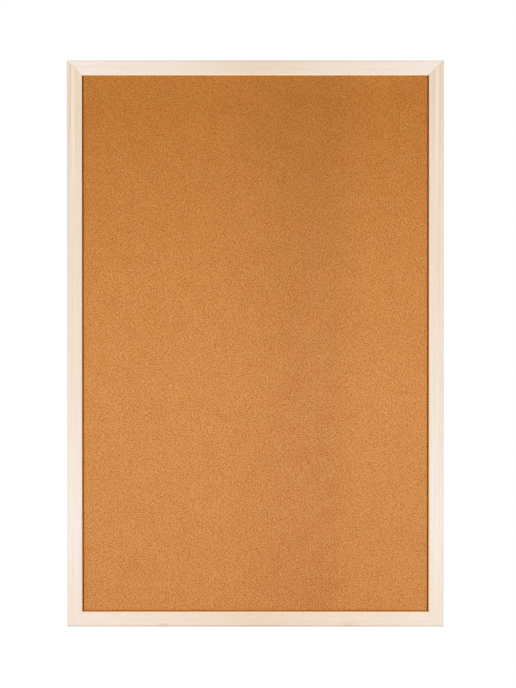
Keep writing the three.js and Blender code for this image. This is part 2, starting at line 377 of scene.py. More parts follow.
    def end_in(self, share: Feed, first: Socket, second: Socket) -> None:
        """Ends the tree in a mix of two shaders.

        Args:
            share: How much of the second, from 0 to 1.
            first: The first shader.
            second: The second shader.
        """
        mixed = self.add("MixShader", share, first, second).outputs["Shader"]
        output = next(node for node in self.tree.nodes if node.name.endswith("Output"))
        self.feed(output.inputs["Surface"], mixed)


class Finish:
    """What a surface looks like; each kind of finish says how it is laid on."""

    def material(self, name: str) -> bpy.types.Material:
        """Makes a material with this finish.

        Args:
            name: The material's name.

        Returns:
            The material.
        """
        sheet = ShaderSheet(bpy.data.materials.new(name))
        self.lay(sheet)
        return sheet.owner

    def lay(self, sheet: ShaderSheet) -> None:
        """Lays the finish on a material's sheet."""
        raise NotImplementedError


@dataclass(frozen=True)
class Grain:
    """A pattern that is drawn out along a plank's grain.

    Attributes:
        along: Waves to the metre along the grain.
        across: Waves to the metre across it.
        detail: Its octaves.
        rough: The weight of the finer octaves.
    """

    along: float
    across: float
    detail: float = 2.0
    rough: float = 0.5

    def draw(self, sheet: ShaderSheet, plank: Feed) -> Socket:
        """Draws the pattern at the places of a plank, whose grain runs along X."""
        drawn = sheet.vector("MULTIPLY", plank, (self.along, self.across, self.across))
        return sheet.noise(drawn, 1.0, self.detail, self.rough)


@dataclass(frozen=True)
class Streak:
    """A streak or a pin knot in a length of pine.

    Attributes:
        along: Where its middle lies, as a share of the length.
        inwards: How far in from the outer edge its middle lies.
        length: How long it is, as a share of the length.
        width: How wide it is.
        tint: What it does to the wood's colour.
    """

    along: float
    inwards: float
    length: float
    width: float
    tint: Colour

    def share(self, sheet: ShaderSheet, along: Feed, inwards: Feed) -> Socket:
        """Says how much of the streak shows at each place.

        Args:
            sheet: The material's sheet.
            along: The place, as a share of the length.
            inwards: The place, in from the outer edge.

        Returns:
            The socket of the share, from 1 in the middle to 0 round the edge.
        """
        squares = []
        for place, middle, size in (
            (along, self.along, self.length),
            (inwards, self.inwards, self.width),
        ):
            off = sheet.sums("MULTIPLY", sheet.sums("SUBTRACT", place, middle), 2.0 / size)
            squares.append(sheet.sums("MULTIPLY", off, off))
        return sheet.span(sheet.sums("ADD", *squares), (0.0, 1.0), (1.0, 0.0))


@dataclass(frozen=True)
class PineFinish(Finish):
    """Pale pine, planed, with a thin satin lacquer.

    Attributes:
        lie: Which way the grain runs.
        edge: Where the moulding's outer edge lies across the grain.
        run: Where the length starts and ends along its grain.
        ripe: Places along the length and the share of riper, yellower wood there.
        cut: How far along the plank this length was cut.
        pith: Middle of the growth rings, back from the wall plane and out from the outer edge.
        streak: Places along the length and how strongly pink and olive streaks show there.
        worn: Tint of painted shade along the outer arris, darkest on the bottom rail.
        lip: Painted light on the edge next to the cork: reflected light from the cork, paler on the
            rails as a painted highlight.
        lip_light_width: How far in from that edge the painted light reaches.
        end_wear: How much of the painted arris shade shows where the wood is palest.
        marks: Single streaks and pin knots.
        face: Width of the moulding's face.
        sap: Colour of the palest wood.
        heart: Colour of the ripest wood.
        late: Tint of the summer wood in each ring.
        ring: Width of a year's growth.
        sway: How many years the rings wander along the plank.
        fibre_tint: Tints of the grain's fibres, from the dark ones to the pale.
        hair_tint: Tints of the finest hairs in it, from the dark ones to the pale.
        duct: Colour of the resin ducts.
        duct_width: Width of the cells that may hold a duct.
        duct_draw: How far the ducts are drawn out along the grain, as their width over their length.
        duct_rare: Share of the cells that hold none.
        blush: Tints of the pink and olive streaks.
        waver: How far the edges of streaks and knots waver.
        worn_rise: Where the painted arris shade begins and where it is full, in from the outer edge.
        worn_fall: Where it still is full and where it ends.
        sheen: Roughness, from its smoothest to its dullest.
        gloss: Specular level.
        relief: Depth of the grain.
    """

    WANDER: ClassVar[Grain] = Grain(along=1.6, across=26.0)
    FIBRES: ClassVar[Grain] = Grain(along=14.0, across=900.0, detail=3.0, rough=0.6)
    HAIRS: ClassVar[Grain] = Grain(along=45.0, across=3600.0, rough=0.6)
    BLUSH: ClassVar[Grain] = Grain(along=4.0, across=360.0, detail=1.5)
    WAVER: ClassVar[Grain] = Grain(along=20.0, across=90.0)

    lie: Lie
    edge: float
    run: Pair
    ripe: tuple[Pair, ...]
    cut: float
    pith: Pair
    streak: tuple[Pair, ...]
    worn: Colour
    lip: Colour = (0.9, 0.62, 0.36)
    lip_light_width: float = 2.4 * MM
    end_wear: float = 1.0
    marks: tuple[Streak, ...] = ()
    face: float = 16 * MM
    sap: Colour = (0.885, 0.785, 0.705)
    heart: Colour = (0.8, 0.65, 0.51)
    late: Colour = (0.985, 0.97, 0.945)
    ring: float = 3.4 * MM
    sway: float = 2.6
    fibre_tint: Pair = (0.988, 1.012)
    hair_tint: Pair = (0.955, 1.026)
    duct: Colour = (0.56, 0.36, 0.2)
    duct_width: float = 0.5 * MM
    duct_draw: float = 0.07
    duct_rare: float = 0.985
    blush: Stops = (
        (0.33, (0.91, 0.935, 0.81)),
        (0.45, (1.04, 1.05, 1.07)),
        (0.54, (0.985, 0.975, 0.965)),
        (0.67, (1.03, 0.91, 0.895)),
    )
    waver: float = 2.0 * MM
    worn_rise: Pair = (0.1 * MM, 0.6 * MM)
    worn_fall: Pair = (1.2 * MM, 2.0 * MM)
    sheen: Pair = (0.4, 0.54)
    gloss: float = 0.4
    relief: float = 0.04 * MM

    def lay(self, sheet: ShaderSheet) -> None:
        """Lays the finish on a material's sheet.

        Args:
            sheet: The material's sheet.
        """
        turn = (0.0, QUARTER if self.lie is Lie.UPRIGHT else 0.0, 0.0)
        plank = sheet.place(turn, (self.cut, 0.0, -self.edge))
        run = (self.run[0] + self.cut, self.run[1] + self.cut)
        along = sheet.slope(sheet.part(plank, "X"), run, (0.0, 1.0))
        inwards = sheet.sums("ABSOLUTE", sheet.part(plank, "Z"))
        ripe, streak = (
            sheet.ramp(along, [(place, (share,) * 3) for place, share in shares], "EASE")
            for shares in (self.ripe, self.streak)
        )
        season = self.season(sheet, plank)
        fibres = self.FIBRES.draw(sheet, plank)
        hairs = self.HAIRS.draw(sheet, plank)

        colour = sheet.mix(ripe, self.sap, self.heart)
        year = ((0.0, WHITE), (0.4, WHITE), (0.85, self.late), (1.0, WHITE))
        colour = sheet.tint(colour, sheet.ramp(season, year))
        colour = sheet.tint(colour, sheet.span(fibres, (0.3, 0.7), self.fibre_tint))
        colour = sheet.tint(colour, sheet.span(hairs, (0.28, 0.6), self.hair_tint))
        blush = sheet.ramp(self.BLUSH.draw(sheet, plank), self.blush)
        colour = sheet.tint(colour, blush, streak)
        drawn_out = sheet.vector("MULTIPLY", plank, (self.duct_draw, 1.0, 1.0))
        ducts = sheet.specks(
            drawn_out, self.duct_width, "Red", self.duct_rare, fade=(0.1, 0.45), most=0.3
        )
        colour = sheet.mix(ducts, colour, self.duct)

        wavering = sheet.sums("SUBTRACT", inwards, self.waver / 2)
        wavering = sheet.sums("MULTIPLY_ADD", self.WAVER.draw(sheet, plank), self.waver, wavering)
        broken = sheet.span(fibres, (0.36, 0.6), (0.45, 1.0))
        for mark in self.marks:
            share = sheet.sums("MULTIPLY", mark.share(sheet, along, wavering), broken)
            colour = sheet.tint(colour, mark.tint, share)

        # Painted shade along the outer arris, where the eased edge turns away from the light.
        worn = sheet.band(inwards, self.worn_rise, self.worn_fall, foot=0.2)
        worn = sheet.sums("MULTIPLY", worn, sheet.slope(ripe, (0.0, 1.0), (self.end_wear, 1.0)))
        colour = sheet.tint(colour, self.worn, worn)
        # Painted reflected light and painted highlight along the edge next to the cork.
        lip = sheet.span(inwards, (self.face - self.lip_light_width, self.face), (0.0, 1.0))
        colour = sheet.mix(lip, colour, self.lip)
        sheet.coat(colour, sheet.span(fibres, (0.25, 0.75), self.sheen), self.gloss)
        height = sheet.sums("MULTIPLY_ADD", hairs, 0.5, fibres)
        height = sheet.sums("MULTIPLY_ADD", season, 0.5, height)
        sheet.bump(height, self.relief, strength=0.3)

    def season(self, sheet: ShaderSheet, plank: Feed) -> Socket:
        """Says how far into its year's growth the wood is at each place.

        Args:
            sheet: The material's sheet.
            plank: The place, with the grain along X.

        Returns:
            The socket of the share of the year, from 0 to 1.
        """
        across = sheet.vector("MULTIPLY", plank, (0.0, 1.0, 1.0))
        radius = sheet.vector("LENGTH", sheet.vector("SUBTRACT", across, (0.0, *self.pith)))
        years = sheet.sums("DIVIDE", radius, self.ring)
        years = sheet.sums("MULTIPLY_ADD", self.WANDER.draw(sheet, plank), self.sway, years)
        return sheet.sums("FRACT", years)


@dataclass(frozen=True)
class SawnPine(Finish):
    """Sawn pine without lacquer, darker than the planed face.

    Attributes:
        pale: Colour between the pores.
        dark: Colour of the pores.
        gloss: Specular level.
        sheen: Roughness, from its smoothest to its dullest.
        pores: How many pores there are to the metre.
        relief: Depth of the pores.
    """

    pale: Colour
    dark: Colour
    gloss: float = 0.05
    sheen: Pair = (0.62, 0.78)
    pores: float = 2400.0
    relief: float = 0.05 * MM

    def lay(self, sheet: ShaderSheet) -> None:
        """Lays the finish on a material's sheet.

        Args:
            sheet: The material's sheet.
        """
        pores = sheet.noise(sheet.place(), self.pores, detail=3.0, rough=0.6)
        colour = sheet.ramp(pores, ((0.3, self.dark), (0.65, self.pale)))
        sheet.coat(colour, sheet.span(pores, (0.3, 0.7), self.sheen), self.gloss)
        sheet.bump(pores, self.relief, strength=0.3)


@dataclass(frozen=True)
class CorkFinish(Finish):
    """Fine pressed cork, sanded and left bare.

    Attributes:
        low: The sheet's lowest corner.
        high: Its highest corner.
        granule: Size of the pressed granules.
        granule_turn: How far their rows are turned, which hides them.
        fleck: Size of the flecks in them.
        crumb: Size of the dark crumbs of bark among them.
        crumb_rare: Share of the places for crumbs that stay empty.
        stir: How far flecks and crumbs are stirred about.
        stir_waves: Waves to the metre of this stirring.
        shades: Places and colours from the darkest cork to the palest.
        bark: Colour of the crumbs.
        blotches: Channels of a cloudy pattern, each with its dark and its pale tint.
        blotch_waves: Waves to the metre of this pattern.
        heights: Tints from the foot of the sheet to its top, darker and warmer towards the top.
        strip: Tint of a strip of painted shade down the sheet.
        shade_strip_rise: Where the painted shade strip begins and where it is full.
        shade_strip_fall: Where it still is full and where it ends.
        rim: Colour of the painted shadow along the cut edges, where the frame shades the cork.
        rim_shadow_wander: How far the edge of this painted shadow wanders.
        rim_shadow_wander_waves: Waves to the metre of this wandering.
        side_shadow_fade: Where the painted shadow starts to fade and where it is gone, in from a side.
        foot_shadow_rise: Where it begins and where it is full, up from the foot.
        foot_shadow_fall: Where it still is full and where it is gone, up from the foot.
        sheen: Roughness, from its smoothest to its dullest.
        gloss: Specular level.
        relief: Depth of the fine relief.
    """

    low: Vector
    high: Vector
    granule: float = 1.5 * MM
    granule_turn: float = math.radians(31)
    fleck: float = 0.52 * MM
    crumb: float = 0.6 * MM
    crumb_rare: float = 0.95
    stir: float = 0.5 * MM
    stir_waves: float = 1100.0
    shades: Stops = (
        (0.0, (0.43, 0.122, 0.016)),
        (0.5, (0.625, 0.255, 0.068)),
        (1.0, (0.83, 0.43, 0.168)),
    )
    bark: Colour = (0.36, 0.115, 0.022)
    blotches: tuple[tuple[str, Colour, Colour], ...] = (
        ("Red", (0.975, 0.96, 0.94), (1.022, 1.034, 1.06)),
        ("Green", (1.014, 0.988, 0.97), (0.986, 1.012, 1.03)),
    )
    blotch_waves: float = 48.0
    heights: Stops = (
        (0.0, (0.955, 0.925, 0.905)),
        (0.2, (0.99, 0.985, 0.99)),
        (0.4, WHITE),
        (0.62, (0.945, 0.925, 0.845)),
        (0.95, (0.784, 0.71, 0.485)),
        (1.0, (0.8, 0.73, 0.53)),
    )
    strip: Colour = (0.933, 0.918, 0.955)
    shade_strip_rise: Pair = (-0.055, 0.05)
    shade_strip_fall: Pair = (0.075, 0.12)
    rim: Colour = (0.265, 0.094, 0.018)
    rim_shadow_wander: float = 0.9 * MM
    rim_shadow_wander_waves: float = 330.0
    side_shadow_fade: Pair = (0.95 * MM, 1.6 * MM)
    foot_shadow_rise: Pair = (0.2 * MM, 0.6 * MM)
    foot_shadow_fall: Pair = (1.1 * MM, 1.7 * MM)
    sheen: Pair = (0.82, 0.95)
    gloss: float = 0.12
    relief: float = 0.1 * MM

    def lay(self, sheet: ShaderSheet) -> None:
        """Lays the finish on a material's sheet.

        Args:
            sheet: The material's sheet.
        """
        spot = sheet.place()
        cloud = sheet.noise(spot, self.stir_waves)
        drift = sheet.vector("SUBTRACT", cloud.node.outputs["Color"], (0.5,) * 3)
        stirred = sheet.vector("MULTIPLY_ADD", drift, (self.stir,) * 3, spot)
        facing = sheet.place(turn=(QUARTER, 0.0, self.granule_turn))
        granules = sheet.cells(facing, self.granule, stray=0.8, depth="2D")
        outwards = granules.outputs["Distance"]
        flecks = sheet.part(sheet.cells(stirred, self.fleck).outputs["Color"], "Red")
        shade = sheet.sums("MULTIPLY_ADD", flecks, 0.56, 0.5)
        shade = sheet.sums("MULTIPLY_ADD", outwards, -0.76, shade)
        crumbs = sheet.specks(
            stirred, self.crumb, "Blue", self.crumb_rare, fade=(0.2, 0.5), most=0.6
        )
        colour = sheet.mix(crumbs, sheet.ramp(shade, self.shades), self.bark)

        blotch = sheet.noise(spot, self.blotch_waves, detail=4.0, rough=0.62).node.outputs["Color"]
        for channel, dark, pale in self.blotches:
            tints = ((0.3, dark), (0.5, WHITE), (0.7, pale))
            colour = sheet.tint(colour, sheet.ramp(sheet.part(blotch, channel), tints))
        rise = sheet.slope(sheet.part(spot, "Z"), (self.low.z, self.high.z), (0.0, 1.0))
        colour = sheet.tint(colour, sheet.ramp(rise, self.heights))
        # Painted shade in a strip down the sheet.
        in_shade_strip = sheet.band(sheet.part(spot, "X"), self.shade_strip_rise, self.shade_strip_fall)
        colour = sheet.tint(colour, self.strip, in_shade_strip)

        # Painted shadow along the sides and foot, where the frame shades the cork.
        colour = sheet.mix(self.rim_shadow_share(sheet, spot), colour, self.rim)
        sheet.coat(colour, sheet.span(cloud, (0.3, 0.7), self.sheen), self.gloss)
        height = sheet.sums("MULTIPLY_ADD", outwards, -0.8, shade)
        sheet.bump(height, self.relief, strength=0.3)

    def rim_shadow_share(self, sheet: ShaderSheet, spot: Feed) -> Socket:
        """Says how much of the painted shadow along the cut edges shows at each place.

        Args:
            sheet: The material's sheet.
            spot: The place.

        Returns:
            The socket of the share: full along the sides, broken along the foot, none at the top.
        """
        rim_shadow_wander = sheet.noise(spot, self.rim_shadow_wander_waves)
        uneven = sheet.sums("MULTIPLY_ADD", rim_shadow_wander, self.rim_shadow_wander, -self.rim_shadow_wander / 2)
        aside = sheet.sums("ABSOLUTE", sheet.part(spot, "X"))
        side = sheet.sums("SUBTRACT", self.high.x, sheet.sums("ADD", aside, uneven))
        foot = sheet.sums("SUBTRACT", sheet.part(spot, "Z"), self.low.z)
        foot = sheet.sums("SUBTRACT", foot, sheet.sums("MULTIPLY", uneven, 1.5))
        return sheet.sums(
            "MAXIMUM",
            sheet.span(side, self.side_shadow_fade, (1.0, 0.0)),
            sheet.band(foot, self.foot_shadow_rise, self.foot_shadow_fall, foot=0.15, top=0.8),
        )


@dataclass(frozen=True)
class FibreFinish(Finish):
    """Pressed wood fibre: a felt of short fibres lying every way.

    Attributes:
        dark: Colour between the fibres.
        pale: Colour of the fibres' bed.
        fibre: Colour of the fibres that stand out.
        length: Length of a fibre.
        sheen: Roughness, from its smoothest to its dullest.
        gloss: Specular level.
        lays: How many ways the fibres that stand out lie.
        relief: Depth of the felt.
    """

    dark: Colour
    pale: Colour
    fibre: Colour
    length: float
    sheen: Pair
    gloss: float
    lays: int = 5
    relief: float = 0.06 * MM

    def lay(self, sheet: ShaderSheet) -> None:
        """Lays the finish on a material's sheet.

        Args:
            sheet: The material's sheet.
        """
        spot = sheet.place()
        felt = sheet.noise(spot, 1.6 / self.length, detail=5.0, rough=0.65)
        mottle = sheet.noise(spot, 0.12 / self.length, detail=3.0)
        colour = sheet.ramp(felt, ((0.28, self.dark), (0.7, self.pale)))
        colour = sheet.tint(colour, sheet.span(mottle, (0.3, 0.7), (0.91, 1.08)))
        strands: Feed = 0.0
        for step in range(self.lays):
            turn = (0.0, math.radians(17 + 37 * step), 0.0)
            laid = sheet.place(turn, (0.31 * step, 0.0, 0.17 * step))
            drawn = sheet.vector("MULTIPLY", laid, (0.1, 1.0, 1.0))
            strand = sheet.noise(drawn, (7.0 + 2.5 * step) / self.length, detail=1.0)
            shown = sheet.span(strand, (0.64, 0.78), (0.0, 0.42 - 0.05 * step))
            strands = sheet.sums("MAXIMUM", strands, shown)
        colour = sheet.mix(strands, colour, self.fibre)
        sheet.coat(colour, sheet.span(felt, (0.3, 0.7), self.sheen), self.gloss)
        sheet.bump(sheet.sums("ADD", felt, strands), self.relief, strength=0.4)


@dataclass(frozen=True)
class PlatedMetal(Finish):
    """Steel, bare or with a zinc skin.

    Attributes:
        bright: Colour of the clean metal.
        dull: Colour where it has dulled.
        polish: Roughness, from the clean metal to the dull.
        flower: Size of the zinc's crystal patches.
        spangle: How plainly they show.
        gloss: Specular level.
        relief: Depth of the unevenness that the rolls leave.
    """

    bright: Colour
    dull: Colour
    polish: Pair
    flower: float
    spangle: float = 0.35
    gloss: float = 0.5
    relief: float = 0.01 * MM

    def lay(self, sheet: ShaderSheet) -> None:
        """Lays the finish on a material's sheet.

        Args:
            sheet: The material's sheet.
        """
        spot = sheet.place()
        patches = sheet.part(sheet.cells(spot, self.flower).outputs["Color"], "Red")
        cloud = sheet.noise(spot, 0.7 / self.flower, detail=4.0, rough=0.6)
        haze = sheet.sums("MULTIPLY", cloud, 1.1 - self.spangle)
        wear = sheet.sums("MULTIPLY_ADD", patches, self.spangle, haze)
        colour = sheet.ramp(wear, ((0.25, self.bright), (0.8, self.dull)))
        sheet.coat(colour, sheet.span(wear, (0.2, 0.85), self.polish), self.gloss)
        sheet.wire(sheet.surface, Metallic=1.0)
        sheet.bump(sheet.noise(spot, 9.0 / self.flower), self.relief, strength=0.25)


END_GRAIN = SawnPine(pale=(0.78, 0.64, 0.5), dark=(0.6, 0.45, 0.31), gloss=0.3)
SOFTBOARD = FibreFinish(
    dark=(0.3, 0.18, 0.08),
    pale=(0.5, 0.33, 0.17),
    fibre=(0.62, 0.45, 0.26),
    length=6 * MM,
    sheen=(0.9, 0.98),
    gloss=0.1,
)
HARDBOARD = FibreFinish(
    dark=(0.105, 0.045, 0.02),
    pale=(0.2, 0.092, 0.042),
    fibre=(0.3, 0.155, 0.075),
    length=4 * MM,
    sheen=(0.46, 0.62),
    gloss=0.35,
)
NAIL_STEEL = PlatedMetal(
    bright=(0.42, 0.43, 0.45),
    dull=(0.2, 0.2, 0.2),
    polish=(0.32, 0.55),
    flower=2.5 * MM,
)
STAPLE_WIRE = PlatedMetal(
    bright=(0.55, 0.55, 0.56),
    dull=(0.36, 0.36, 0.37),
    polish=(0.27, 0.47),
    flower=1.5 * MM,
)
ZINC = PlatedMetal(
    bright=(0.6, 0.61, 0.63),
    dull=(0.4, 0.41, 0.43),
    polish=(0.22, 0.42),
    flower=3 * MM,
    spangle=0.1,
)


class Workshop:
    """Small jobs that every sub-assembly needs on its meshes and objects."""

    SAME_POINT = 2e-6
    HAIR = 1e-7
    FLAT = math.radians(0.4)
    SHARP = math.radians(40)

    @classmethod
    def merged_copy(cls, node: str) -> Mesh:
        """Copies a solid's mesh, with its loose triangles merged into whole faces.

        Args:
            node: The solid's name.

        Returns:
            The copy.
        """
        bm = bmesh.new()
        bm.from_mesh(frame["nodes"][node].data)
        bmesh.ops.remove_doubles(bm, verts=bm.verts, dist=cls.SAME_POINT)
        bmesh.ops.dissolve_limit(bm, angle_limit=cls.FLAT, verts=bm.verts, edges=bm.edges)
        return bm

    @staticmethod
    def draw_out(bm: Mesh, edges: list[Edge]) -> tuple[list[Vert], list[Edge]]:
        """Draws new faces out of open edges, still without any width.

        Args:
            bm: The mesh.
            edges: The edges.

        Returns:
            The new vertices, to be moved, and the new open edges between them.
        """
        grown = bmesh.ops.extrude_edge_only(bm, edges=edges)["geom"]
        verts = [item for item in grown if isinstance(item, Vert)]
        edges = [item for item in grown if isinstance(item, Edge)]
        fresh = set(verts)
        return verts, [edge for edge in edges if fresh.issuperset(edge.verts)]

    @staticmethod
    def made(
        name: str, bm: Mesh, *finishes: bpy.types.Material, crisp: float = 32.0
    ) -> bpy.types.Object:
        """Turns a bmesh into a smooth-shaded object at the origin.

        Args:
            name: The piece's name.
            bm: Its mesh, which is freed.
            *finishes: Its materials in order.
            crisp: Angle between faces past which an edge stays crisp, in degrees.

        Returns:
            The object.
        """
        mesh = bpy.data.meshes.new(name)
        bm.to_mesh(mesh)
        bm.free()
        for finish in finishes:
            mesh.materials.append(finish)
        for face in mesh.polygons:
            face.use_smooth = True
        mesh.set_sharp_from_angle(angle=math.radians(crisp))
        piece = bpy.data.objects.new(name, mesh)
        bpy.context.scene.collection.objects.link(piece)
        return piece

    @staticmethod
    def fit(piece: bpy.types.Object, body: str, slot: str, node: str) -> None:
        """Puts a new piece in place of its solid.

        Args:
            piece: The piece.
            body: The body that it rides on.
            slot: The record's material slot; not used.
            node: The solid that it stands for.
        """
        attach(piece, body)
        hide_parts(node)
        LOG.info("%s stands for %s", piece.name, node)

    @staticmethod
    def coat(node: str, finish: bpy.types.Material) -> bpy.types.Object:
        """Gives a solid that stays its finish.

        Args:
            node: The solid's name.
            finish: Its material.

        Returns:
            The solid's object.
        """
        solid = frame["nodes"][node]
        if not solid.material_slots:
            solid.data.materials.append(finish)
        for material_slot in solid.material_slots:
            material_slot.material = finish
        LOG.info("%s keeps its solid", node)
        return solid

    @staticmethod
    def weigh_normals(piece: bpy.types.Object) -> None:
        """Keeps large flat faces flat beside the small ones that round their edges."""
        piece.modifiers.new("flat faces", "WEIGHTED_NORMAL").keep_sharp = True

    @classmethod
    def round_edges(cls, piece: bpy.types.Object, width: float, weld: bool = False) -> None:
        """Rounds a piece's sharp edges.

        Args:
            piece: The piece.
            width: Width of the rounding.
            weld: True for a solid, whose triangles are loose.
        """
        if weld:
            piece.modifiers.new("joined", "WELD").merge_threshold = cls.SAME_POINT
        bevel = piece.modifiers.new("rounded", "BEVEL")
        bevel.width = width
        bevel.segments = 2
        bevel.limit_method = "ANGLE"
        bevel.angle_limit = cls.SHARP

    @staticmethod
    def cut_edges(bm: Mesh, edges: list[Edge], width: float, segments: int) -> list[Face]:
        """Takes the sharpness off some edges of a mesh.

        Args:
            bm: The mesh.
            edges: The edges.
            width: How far the cut reaches from each.
            segments: How many faces it has.

        Returns:
            The new faces.
        """
        cut = bmesh.ops.bevel(
            bm, geom=edges, offset=width, affect="EDGES", segments=segments, profile=0.5, material=-1
        )
        return cut["faces"]


@dataclass(frozen=True)
class Mitre:
    """How a corner of the frame is glued and finished.

    Attributes:
        rubbed: How far the front edges of its two sawn ends are rubbed down.
        closed: How far the glue draws each end into the gap between them.
    """

    rubbed: float
    closed: float


@dataclass
class PineFrame:
    """The four mitred lengths of moulding, and the V-nails across their corners.

    Attributes:
        mitres: The frame's corners.
        nail_edge: Rounding of the V-nails' edges.
        same_plane: How far from a mitre's plane a face still belongs to it.
    """

    FACES_INWARDS: ClassVar[float] = 0.9
    FACES_FORWARDS: ClassVar[float] = -0.3
    LEVEL_ENOUGH: ClassVar[float] = 0.01
    # Painted light and shade on the wall beside the cork: painted shade with reflected cork colour on
    # the stiles' walls, and painted reflected light on the rails' walls.
    LIT_AND_SHADED_WALLS: ClassVar[dict[str, SawnPine]] = {
        "top_rail": SawnPine(pale=(0.97, 0.8, 0.55), dark=(0.93, 0.72, 0.46)),
        "bottom_rail": SawnPine(pale=(0.97, 0.78, 0.5), dark=(0.93, 0.7, 0.42)),
        "left_stile": SawnPine(pale=(0.62, 0.3, 0.08), dark=(0.52, 0.23, 0.05)),
        "right_stile": SawnPine(pale=(0.7, 0.37, 0.12), dark=(0.6, 0.29, 0.08)),
    }
    # Each pin knot is a soft patch with a core.
    PIN_KNOTS: ClassVar[tuple[Streak, ...]] = (
        Streak(0.255, 1.9 * MM, 0.05, 5.2 * MM, (1.0, 0.88, 0.83)),
        Streak(0.257, 1.9 * MM, 0.027, 2.9 * MM, (0.985, 0.84, 0.755)),
        Streak(0.751, 2.5 * MM, 0.065, 8.0 * MM, (0.985, 0.89, 0.82)),
        Streak(0.744, 1.9 * MM, 0.03, 2.4 * MM, (0.93, 0.83, 0.71)),
    )

    mitres: dict[Corner, Mitre] = field(
        default_factory=lambda: {
            Corner.TOP_LEFT: Mitre(rubbed=0.08 * MM, closed=0.02 * MM),
            Corner.TOP_RIGHT: Mitre(rubbed=0.16 * MM, closed=0.0),
            Corner.BOTTOM_LEFT: Mitre(rubbed=0.0, closed=0.045 * MM),
            Corner.BOTTOM_RIGHT: Mitre(rubbed=0.03 * MM, closed=0.04 * MM),
        }
    )
    nail_edge: float = 0.06 * MM
    same_plane: float = 0.02 * MM

    def build(self) -> None:
        """Builds the mouldings and dresses the nails."""
        sawn = END_GRAIN.material("pine_end_grain")
        for node, finish in self.finishes().items():
            bm = Workshop.merged_copy(node)
            self.mark_inner_wall(bm)
            self.finish_mitres(bm, finish.lie)
            pine = finish.material(f"pine_{node}")
            wall = self.LIT_AND_SHADED_WALLS[node].material(f"pine_wall_{node}")
            piece = Workshop.made(f"{node}_moulding", bm, pine, sawn, wall)
            Workshop.weigh_normals(piece)
            Workshop.fit(piece, "board", "pine", node)
        nail_steel = NAIL_STEEL.material("nail_steel")
        for corner in Corner:
            for row in ("outer", "inner"):
                nail = Workshop.coat(f"v_nail_{corner.name.lower()}_{row}", nail_steel)
                Workshop.round_edges(nail, self.nail_edge, weld=True)

    def finishes(self) -> dict[str, PineFinish]:
        """Gives each length its own stretch of the plank.

        Returns:
            The finish of each length, by the name of its solid.
        """
        low, high = cad_box
        calm = ((0.0, 0.25), (0.5, 0.15), (1.0, 0.25))
        lively = ((0.0, 0.6), (0.35, 0.6), (0.55, 0.35), (0.75, 0.3), (0.9, 0.4))
        rail = partial(PineFinish, lie=Lie.LEVEL, run=(low.x, high.x), streak=calm)
        stile = partial(
            PineFinish,
            lie=Lie.UPRIGHT,
            run=(low.z, high.z),
            ripe=((0.0, 0.35), (0.2, 0.05), (0.5, 0.53), (0.7, 0.78), (0.95, 0.97)),
            streak=lively,
        )
        # The arris tints below are painted shade along the outer arris, and the lip colours are painted
        # light along the edge next to the cork.
        return {
            "top_rail": rail(
                edge=high.z,
                ripe=((0.0, 0.08), (0.25, 0.38), (0.5, 1.0), (0.72, 0.58), (1.0, 0.1)),
                cut=0.3,
                pith=(0.044, 0.026),
                worn=(0.83, 0.825, 0.835),
                lip=(0.98, 0.79, 0.57),
                end_wear=0.4,
            ),
            "bottom_rail": rail(
                edge=low.z,
                ripe=((0.0, 0.3), (0.3, 0.6), (0.5, 1.0), (0.75, 0.6), (1.0, 0.25)),
                cut=1.7,
                pith=(0.05, -0.03),
                worn=(0.74, 0.74, 0.75),
                lip=(0.94, 0.7, 0.46),
                end_wear=0.5,
                marks=self.PIN_KNOTS,
                heart=(0.8, 0.635, 0.48),
            ),
            "left_stile": stile(
                edge=-low.x,
                cut=2.9,
                pith=(0.034, 0.03),
                worn=(0.96, 1.0, 1.03),
                marks=self.sap_streaks(6.5 * MM),
            ),
            "right_stile": stile(
                edge=-high.x,
                cut=4.3,
                pith=(0.038, -0.034),
                worn=(0.92, 0.965, 1.0),
                marks=self.sap_streaks(7.5 * MM),
            ),
        }

    @staticmethod
    def sap_streaks(pale: float) -> tuple[Streak, ...]:
        """Gives the streaks near the top of a stile: a pale one with a darker one on each side.

        Args:
            pale: How far in from the outer edge the pale one lies.

        Returns:
            The streaks.
        """
        return (
            Streak(0.9, pale, 0.32, 5.0 * MM, (1.085, 1.1, 1.18)),
            Streak(0.93, pale - 3.4 * MM, 0.24, 3.0 * MM, (0.92, 0.925, 0.83)),
            Streak(0.92, pale + 3.6 * MM, 0.27, 4.5 * MM, (0.94, 0.935, 0.915)),
        )

    def mark_inner_wall(self, bm: Mesh) -> None:
        """Gives the wall beside the cork its own finish, which carries painted light and shade.

        Args:
            bm: A length's mesh.
        """
        low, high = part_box("core_board")
        middle = (low + high) / 2
        for face in bm.faces:
            spot = face.calc_center_median()
            inwards = max(
                face.normal.x * math.copysign(1.0, middle.x - spot.x),
                face.normal.z * math.copysign(1.0, middle.z - spot.z),
            )
            if inwards > self.FACES_INWARDS and spot.y < high.y:
                face.material_index = Surface.INNER_WALL

    def finish_mitres(self, bm: Mesh, lie: Lie) -> None:
        """Closes a length's two mitres as far as their glue does, and rubs down their front edges.

        Args:
            bm: The length's mesh.
            lie: Which way it lies.
        """
        lengthways = Vector((2.0, 0.0, 0.0) if lie is Lie.LEVEL else (0.0, 0.0, 2.0))
        for corner, mitre in self.mitres.items():
            sawn = self.sawn_faces(bm, corner)
            if not sawn:
                continue
            outwards = sawn[0].normal.copy()
            verts = list(dict.fromkeys(vert for face in sawn for vert in face.verts))
            bmesh.ops.translate(bm, verts=verts, vec=outwards * lengthways * mitre.closed)
            front = [
                edge
                for edge in dict.fromkeys(edge for face in sawn for edge in face.edges)
                if any(
                    face not in sawn and face.normal.y < self.FACES_FORWARDS for face in edge.link_faces
                )
            ]
            for face in sawn:
                face.material_index = Surface.SAWN
            if mitre.rubbed > 0:
                for face in Workshop.cut_edges(bm, front, mitre.rubbed, 1):
                    face.material_index = Surface.SAWN
        bmesh.ops.remove_doubles(bm, verts=bm.verts, dist=Workshop.SAME_POINT)

